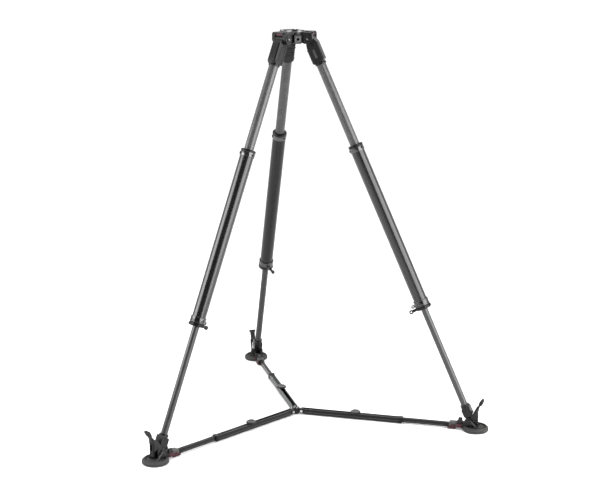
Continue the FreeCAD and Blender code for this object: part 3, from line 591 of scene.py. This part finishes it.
def lock_details(leg):
    """Sleeve bands, eye rings, grip ribs and screws of the twist lock."""
    body = "leg_%s_middle" % leg
    softened("leg_%s_lock_ring" % leg, 0.0010)
    softened("leg_%s_lock_housing" % leg, 0.0008)
    form = bmesh.new()
    for height in (-1.0275, -1.0455):
        band = ring_profile(0.0276, 0.0288, height - 0.0018, height + 0.0018, 0.0007)
        add_lathe(form, LEG[leg], band, 72, True)
    eye = ring_profile(0.0026, 0.0067, -0.0036, 0.0036, 0.0012)
    add_lathe(form, LEG[leg] @ place(*SLEEVE_EYE, "y"), eye, 40, True)
    new_piece("sleeve bands " + leg, form, body, "collar", MATERIALS["lock_sleeve"])
    screws = bmesh.new()
    for step in range(2):
        turn = Matrix.Rotation(math.radians(90 + 180 * step), 4, "Z")
        add_screw(screws, LEG[leg] @ turn @ place(0.0279, 0, LOCK_SCREW_HEIGHT, "x"), 0.0028, 0.0012)
    new_piece("sleeve screws " + leg, screws, body, "steel", MATERIALS["black_screw"])
    ribs = bmesh.new()
    for step in range(LOCK_GRIPS):
        angle = 360 * step / LOCK_GRIPS
        turned = LEG[leg] @ Matrix.Rotation(math.radians(angle), 4, "Z")
        if abs(angle - 180) > LOCK_EAR_GAP:
            add_block(ribs, turned, (0.0286, -0.0008, -1.0590), (0.0296, 0.0008, -1.0505), 0.0003)
    turned = LEG[leg] @ Matrix.Rotation(LOCK_TURN[leg], 4, "Z")
    eye = ring_profile(0.0030, 0.0078, -0.0036, 0.0036, 0.0012)
    add_lathe(ribs, turned @ place(*RING_EYE, "y"), eye, 40, True)
    new_piece("ring grips " + leg, ribs, "leg_%s_lock" % leg, "lock_ring")


# ---------------------------------------------------------------- shoes

STRAP_REACH = 0.692
STRAP_TOP = 0.085
GRIP_LEAN = math.radians(29)
SOLE_TREADS = 36
CLIP_START = 0.6186
ANKLE = JOINTS["leg_a_shoe_tilt"]["pos_m"]
ANKLE_REACH = math.hypot(ANKLE[0], ANKLE[1])
ANKLE_HEIGHT = ANKLE[2]


def strap_details(leg):
    """Softened strap with ribs on its grip, webs under the bail and shoulders beside the slot."""
    softened("leg_%s_foot_strap" % leg, 0.0011)
    middle = (RADIAL[leg].inverted() @ Vector(JOINTS["leg_%s_strap_swing" % leg]["pos_m"])).y
    grip = RADIAL[leg] @ Matrix.Translation((STRAP_REACH, middle, STRAP_TOP - 0.004))
    grip = grip @ Matrix.Rotation(GRIP_LEAN, 4, "Y")
    form = bmesh.new()
    for height in (0.0265, 0.0295, 0.0325):
        add_block(form, grip, (-0.0066, -0.0080, height - 0.0008),
                  (0.0066, 0.0080, height + 0.0008), 0.0004)
    inner_face = STRAP_REACH - 0.0030
    web = [(ANKLE_REACH + 0.0045, ANKLE_HEIGHT + 0.0220), (inner_face, STRAP_TOP - 0.0120),
           (inner_face, 0.0380), (ANKLE_REACH + 0.0105, ANKLE_HEIGHT + 0.0050)]
    for near, far in mirrored(0.0175, 0.0203):
        add_prism(form, RADIAL[leg] @ quarter_turns("X"), web, near, far, 0.0005)
    under_bail = STRAP_TOP - 0.0090
    across = RADIAL[leg] @ quarter_turns("Z", "X")
    for way in (-1, 1):
        edge = middle + way * 0.0095
        outer = way * 0.0206
        shoulder = [(edge, under_bail), (outer, under_bail), (outer, 0.0560), (edge, 0.0380)]
        add_prism(form, across, shoulder, inner_face, STRAP_REACH + 0.0020, 0.0005)
    new_piece("grip end " + leg, form, "leg_%s_strap" % leg, "strap_rubber")


def sole_details(leg):
    """Ribs round the sole's rim, treads on its top and the floor of its dish."""
    low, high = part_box("leg_%s_shoe_disc" % leg)
    flat = Matrix.Translation(((low + high) / 2).xy.to_3d()) @ RADIAL[leg].to_3x3().to_4x4()
    form = bmesh.new()
    for height in (0.0045, 0.0075, 0.0105):
        rib = ring_profile(0.0468, 0.0480, height - 0.0008, height + 0.0008, 0.0004)
        add_lathe(form, flat, rib, 96, True)
    for step in range(SOLE_TREADS):
        turn = flat @ Matrix.Rotation(math.tau * step / SOLE_TREADS, 4, "Z")
        add_block(form, turn, (0.0372, -0.0007, 0.0165), (0.0418, 0.0007, 0.0177), 0.0003)
    dish = [(0, 0.0115), (0.0357, 0.0115), (0.0357, 0.0128), (0.0345, 0.0134), (0, 0.0134)]
    add_lathe(form, flat, dish, 72)
    new_piece("sole ribs " + leg, form, "leg_%s_shoe" % leg, "sole_rubber")


def ankle_details(leg):
    """Bolt heads on the ankle's cheeks and bright edges on the braces."""
    shoe = "leg_%s_shoe" % leg
    bolts = bmesh.new()
    for side, way in ((1, "y"), (-1, "-y")):
        head = RADIAL[leg] @ place(ANKLE_REACH, side * 0.0234, ANKLE_HEIGHT, way)
        add_bolt_dome(bolts, head, 0.0052, 0.0022)
    new_piece("ankle bolts " + leg, bolts, shoe, "steel", MATERIALS["black_screw"])
    braces = bmesh.new()
    outline = [(ANKLE_REACH + 0.0005, ANKLE_HEIGHT + 0.0045),
               (ANKLE_REACH + 0.0045, ANKLE_HEIGHT + 0.0060),
               (ANKLE_REACH + 0.0290, 0.0130), (ANKLE_REACH + 0.0235, 0.0130)]
    for near, far in mirrored(0.0230, 0.0246):
        add_prism(braces, RADIAL[leg] @ quarter_turns("X"), outline, near, far, 0.0005)
    new_piece("brace edges " + leg, braces, shoe, "shoe_plastic", MATERIALS["brace"])


def clip_details(leg):
    """Red wings and a grey cover on the nose that holds the spreader's arm."""
    shoe = "leg_%s_shoe" % leg
    wings = bmesh.new()
    for near, far in mirrored(0.0156, 0.0180):
        add_block(wings, RADIAL[leg], (CLIP_START, near, 0.0100), (0.6385, far, 0.0250), 0.0008)
    new_piece("clip wings " + leg, wings, shoe, "red_accent")
    cover = bmesh.new()
    add_block(cover, RADIAL[leg], (CLIP_START + 0.0006, -0.0074, 0.0262),
              (0.6400, 0.0074, 0.0335), 0.0020, 3)
    new_piece("clip cover " + leg, cover, shoe, "arm_end_grey")


def shoe_details(leg):
    """Everything on one shoe: softened block, strap and casting, then the small pieces."""
    softened("leg_%s_shoe_block" % leg, 0.0009)
    strap_details(leg)
    softened("leg_%s_foot_casting" % leg, 0.0012)
    sole_details(leg)
    ankle_details(leg)
    clip_details(leg)


# ---------------------------------------------------------------- spreader

CHANNEL_START = 0.0370
CHANNEL_END = 0.3980
RAIL_START = 0.4150
RAIL_END = 0.5700
KNOB_GRIPS = 24


def arm_details(leg):
    """Softened arm, end cover, rivets and lighter strips painted along its edges as highlights."""
    channel = "leg_%s_channel" % leg
    rail = "leg_%s_rail" % leg
    softened("leg_%s_arm_channel" % leg, 0.0006)
    softened("leg_%s_arm_end" % leg, 0.0010)
    softened("leg_%s_arm_latch" % leg, 0.0008)
    cover = bmesh.new()
    add_block(cover, RADIAL[leg], (0.5900, -0.0128, 0.0205), (0.6166, 0.0128, 0.0270), 0.0022, 3)
    new_piece("end cover " + leg, cover, rail, "arm_end_grey")
    rivets = bmesh.new()
    for reach in (0.040, 0.200, 0.398):
        for side, way in ((-1, "-y"), (1, "y")):
            head = RADIAL[leg] @ place(reach, side * 0.0102, 0.0130, way)
            add_bolt_dome(rivets, head, 0.0026, 0.0010)
    # Lighter strips on the channel's wall tops and along its sides are painted highlight lines.
    painted_highlight_strips = bmesh.new()
    for near, far in mirrored(0.0068, 0.0099):
        add_block(painted_highlight_strips, RADIAL[leg], (CHANNEL_START, near, 0.0226), (CHANNEL_END, far, 0.0233), 0.0003)
    for near, far in mirrored(0.0101, 0.0107):
        add_block(painted_highlight_strips, RADIAL[leg], (CHANNEL_START, near, 0.0102), (CHANNEL_END, far, 0.0118), 0.0002)
    new_piece("channel trims " + leg, painted_highlight_strips, channel, "arm_black", MATERIALS["trim"])
    # Lighter strips on the rail's top and sides are painted highlight lines.
    painted_highlight_strips = bmesh.new()
    for near, far in mirrored(0.0034, 0.0056):
        add_block(painted_highlight_strips, RADIAL[leg], (RAIL_START, near, 0.0216), (RAIL_END, far, 0.0221), 0.0002)
    for near, far in mirrored(0.0058, 0.0062):
        add_block(painted_highlight_strips, RADIAL[leg], (RAIL_START, near, 0.0102), (RAIL_END, far, 0.0116), 0.0001)
    new_piece("rail trims " + leg, painted_highlight_strips, rail, "arm_grey", MATERIALS["trim"])
    new_piece("channel rivets " + leg, rivets, channel, "steel", MATERIALS["black_screw"])


def knob_details(leg):
    """Grips round the knob's rim and a turned cap on its top, coloured lighter as a painted highlight."""
    ribs = bmesh.new()
    low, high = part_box("leg_%s_arm_knob" % leg)
    knob = Matrix.Translation(((low + high) / 2).xy.to_3d())
    for step in range(KNOB_GRIPS):
        turn = knob @ Matrix.Rotation(math.tau * step / KNOB_GRIPS, 4, "Z")
        add_block(ribs, turn, (0.0180, -0.0010, high.z - 0.0070),
                  (0.0190, 0.0010, high.z - 0.0028), 0.0004)
    new_piece("knob grips " + leg, ribs, "leg_%s_knob" % leg, "knob_plastic")
    # The cap's lighter colour paints the highlight on the knob's top.
    cap = bmesh.new()
    add_lathe(cap, knob, [(0, high.z - 0.0005), (0.0100, high.z - 0.0005), (0.0112, high.z + 0.0014),
                          (0.0130, high.z + 0.0020), (0.0150, high.z + 0.0010), (0.0160, high.z - 0.0006),
                          (0.0160, high.z - 0.0022), (0, high.z - 0.0022)], 64)
    new_piece("knob cap " + leg, cap, "leg_%s_knob" % leg, "knob_plastic", MATERIALS["knob_cap"])


def hub_details():
    """Round plate, crossed bars and their four screws on top of the hub."""
    softened("hub_body", 0.0008)
    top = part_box("hub_body")[1].z
    screws = bmesh.new()
    bars = bmesh.new()
    add_lathe(bars, place(), [(0, top - 0.001), (0.0118, top - 0.001), (0.0118, top + 0.0008),
                              (0.0110, top + 0.0016), (0, top + 0.0016)], 48)
    for turn in (0, 90):
        spin = Matrix.Rotation(math.radians(turn + 12), 4, "Z")
        add_block(bars, spin, (-0.0122, -0.0022, top + 0.0010), (0.0122, 0.0022, top + 0.0034), 0.0007)
        for reach in (-0.0092, 0.0092):
            add_bolt_dome(screws, spin @ place(reach, 0, top + 0.0032), 0.0030, 0.0018)
    new_piece("hub cross", bars, "hub", "casting")
    new_piece("hub screws", screws, "hub", "steel")


bowl_rim()
crown_ears()
for leg in LEGS:
    latch_cover(leg)
accessory_rim()
hub_details()
for leg in LEGS:
    top_details(leg)
    collar_details(leg)
    lock_details(leg)
    shoe_details(leg)
    arm_details(leg)
    knob_details(leg)


# ---------------------------------------------------------------- studio

FLOOR_HALF = 150.0
LIGHTS = (
    ("left", (-3.57, -0.31, 2.0), (2.9, 1.5), 120),
    ("right", (2.81, -3.07, 1.5), (4.4, 2.8), 270),
    ("top", (0.0, 0.4, 5.4), (3.4, 3.4), 150),
)


def ground():
    """Wide pale floor that sinks with the shoes when the legs close."""
    form = bmesh.new()
    signs = ((-1, -1), (1, -1), (1, 1), (-1, 1))
    form.faces.new([form.verts.new((x * FLOOR_HALF, y * FLOOR_HALF, 0)) for x, y in signs])
    mesh = bpy.data.meshes.new("floor")
    form.to_mesh(mesh)
    form.free()
    floor = bpy.data.objects.new("floor", mesh)
    bpy.context.scene.collection.objects.link(floor)
    paint = Finish("floor paint", Roughness=0.9, Specular_IOR_Level=0.1)
    paint.into("Emission Color", grey(1.0))
    away = paint.node("ShaderNodeVectorMath", operation="LENGTH")
    paint.link(paint.place, away.inputs[0])
    paint.into("Emission Strength", paint.between(away.outputs["Value"], 3.0, 8.0, 0.10, 0.27))
    paint.into("Base Color", paint.mix(paint.noise(2.0), grey(0.93), grey(0.96)))
    mesh.materials.append(paint.material)
    follow = floor.constraints.new("COPY_LOCATION")
    follow.target = frame["bodies"]["leg_a_shoe"]
    follow.use_x = False
    follow.use_y = False
    stop = floor.constraints.new("LIMIT_LOCATION")
    stop.use_max_z = True
    stop.max_z = 0.0


def sky():
    """Even white light from the back half of the room, fading towards the front."""
    world = bpy.data.worlds.new("studio")
    world.use_nodes = True
    glow = world.node_tree.nodes["Background"]
    glow.inputs["Strength"].default_value = 1.07
    way = world.node_tree.nodes.new("ShaderNodeTexCoord")
    facing = world.node_tree.nodes.new("ShaderNodeVectorMath")
    facing.operation = "DOT_PRODUCT"
    facing.inputs[1].default_value = (0.25, 0.97, 0.0)
    room = world.node_tree.nodes.new("ShaderNodeMapRange")
    for socket, number in zip(("From Min", "From Max", "To Min", "To Max"), (-0.75, -0.05, 0.05, 1.0)):
        room.inputs[socket].default_value = number
    world.node_tree.links.new(way.outputs["Generated"], facing.inputs[0])
    world.node_tree.links.new(facing.outputs["Value"], room.inputs["Value"])
    world.node_tree.links.new(room.outputs["Result"], glow.inputs["Color"])
    bpy.context.scene.world = world


def lamps():
    """Soft rectangular lights aimed at the middle of the tripod."""
    for name, spot, size, power in LIGHTS:
        light = bpy.data.lights.new(name, "AREA")
        light.shape = "RECTANGLE"
        light.size = size[0]
        light.size_y = size[1]
        light.energy = power
        lamp = bpy.data.objects.new(name, light)
        lamp.location = spot
        aim = Vector((0, 0, 0.7)) - Vector(spot)
        lamp.rotation_euler = aim.to_track_quat("-Z", "Y").to_euler()
        bpy.context.scene.collection.objects.link(lamp)


def camera():
    """Camera in front of the tripod, a little to the left and above."""
    azimuth = math.radians(-14.41)
    rise = math.radians(14.26)
    roll = math.radians(-0.28)
    distance = 5.41
    level = math.cos(rise)
    back = Vector((math.sin(azimuth) * level, -math.cos(azimuth) * level, math.sin(rise)))
    right = Vector((math.cos(azimuth), math.sin(azimuth), 0))
    up = back.cross(right)
    target = Vector((0, 0, 0.665)) + right * 0.018 - up * 0.024
    lens = bpy.data.cameras.new("camera")
    lens.lens = 87.66
    lens.sensor_width = 36.0
    lens.clip_end = 60.0
    eye = bpy.data.objects.new("camera", lens)
    turn = Matrix((right, up, back)).transposed() @ Matrix.Rotation(roll, 3, "Z")
    eye.matrix_world = Matrix.Translation(target + back * distance) @ turn.to_4x4()
    bpy.context.scene.collection.objects.link(eye)
    bpy.context.scene.camera = eye


ground()
sky()
lamps()
camera()
bpy.context.scene.view_settings.view_transform = "Standard"
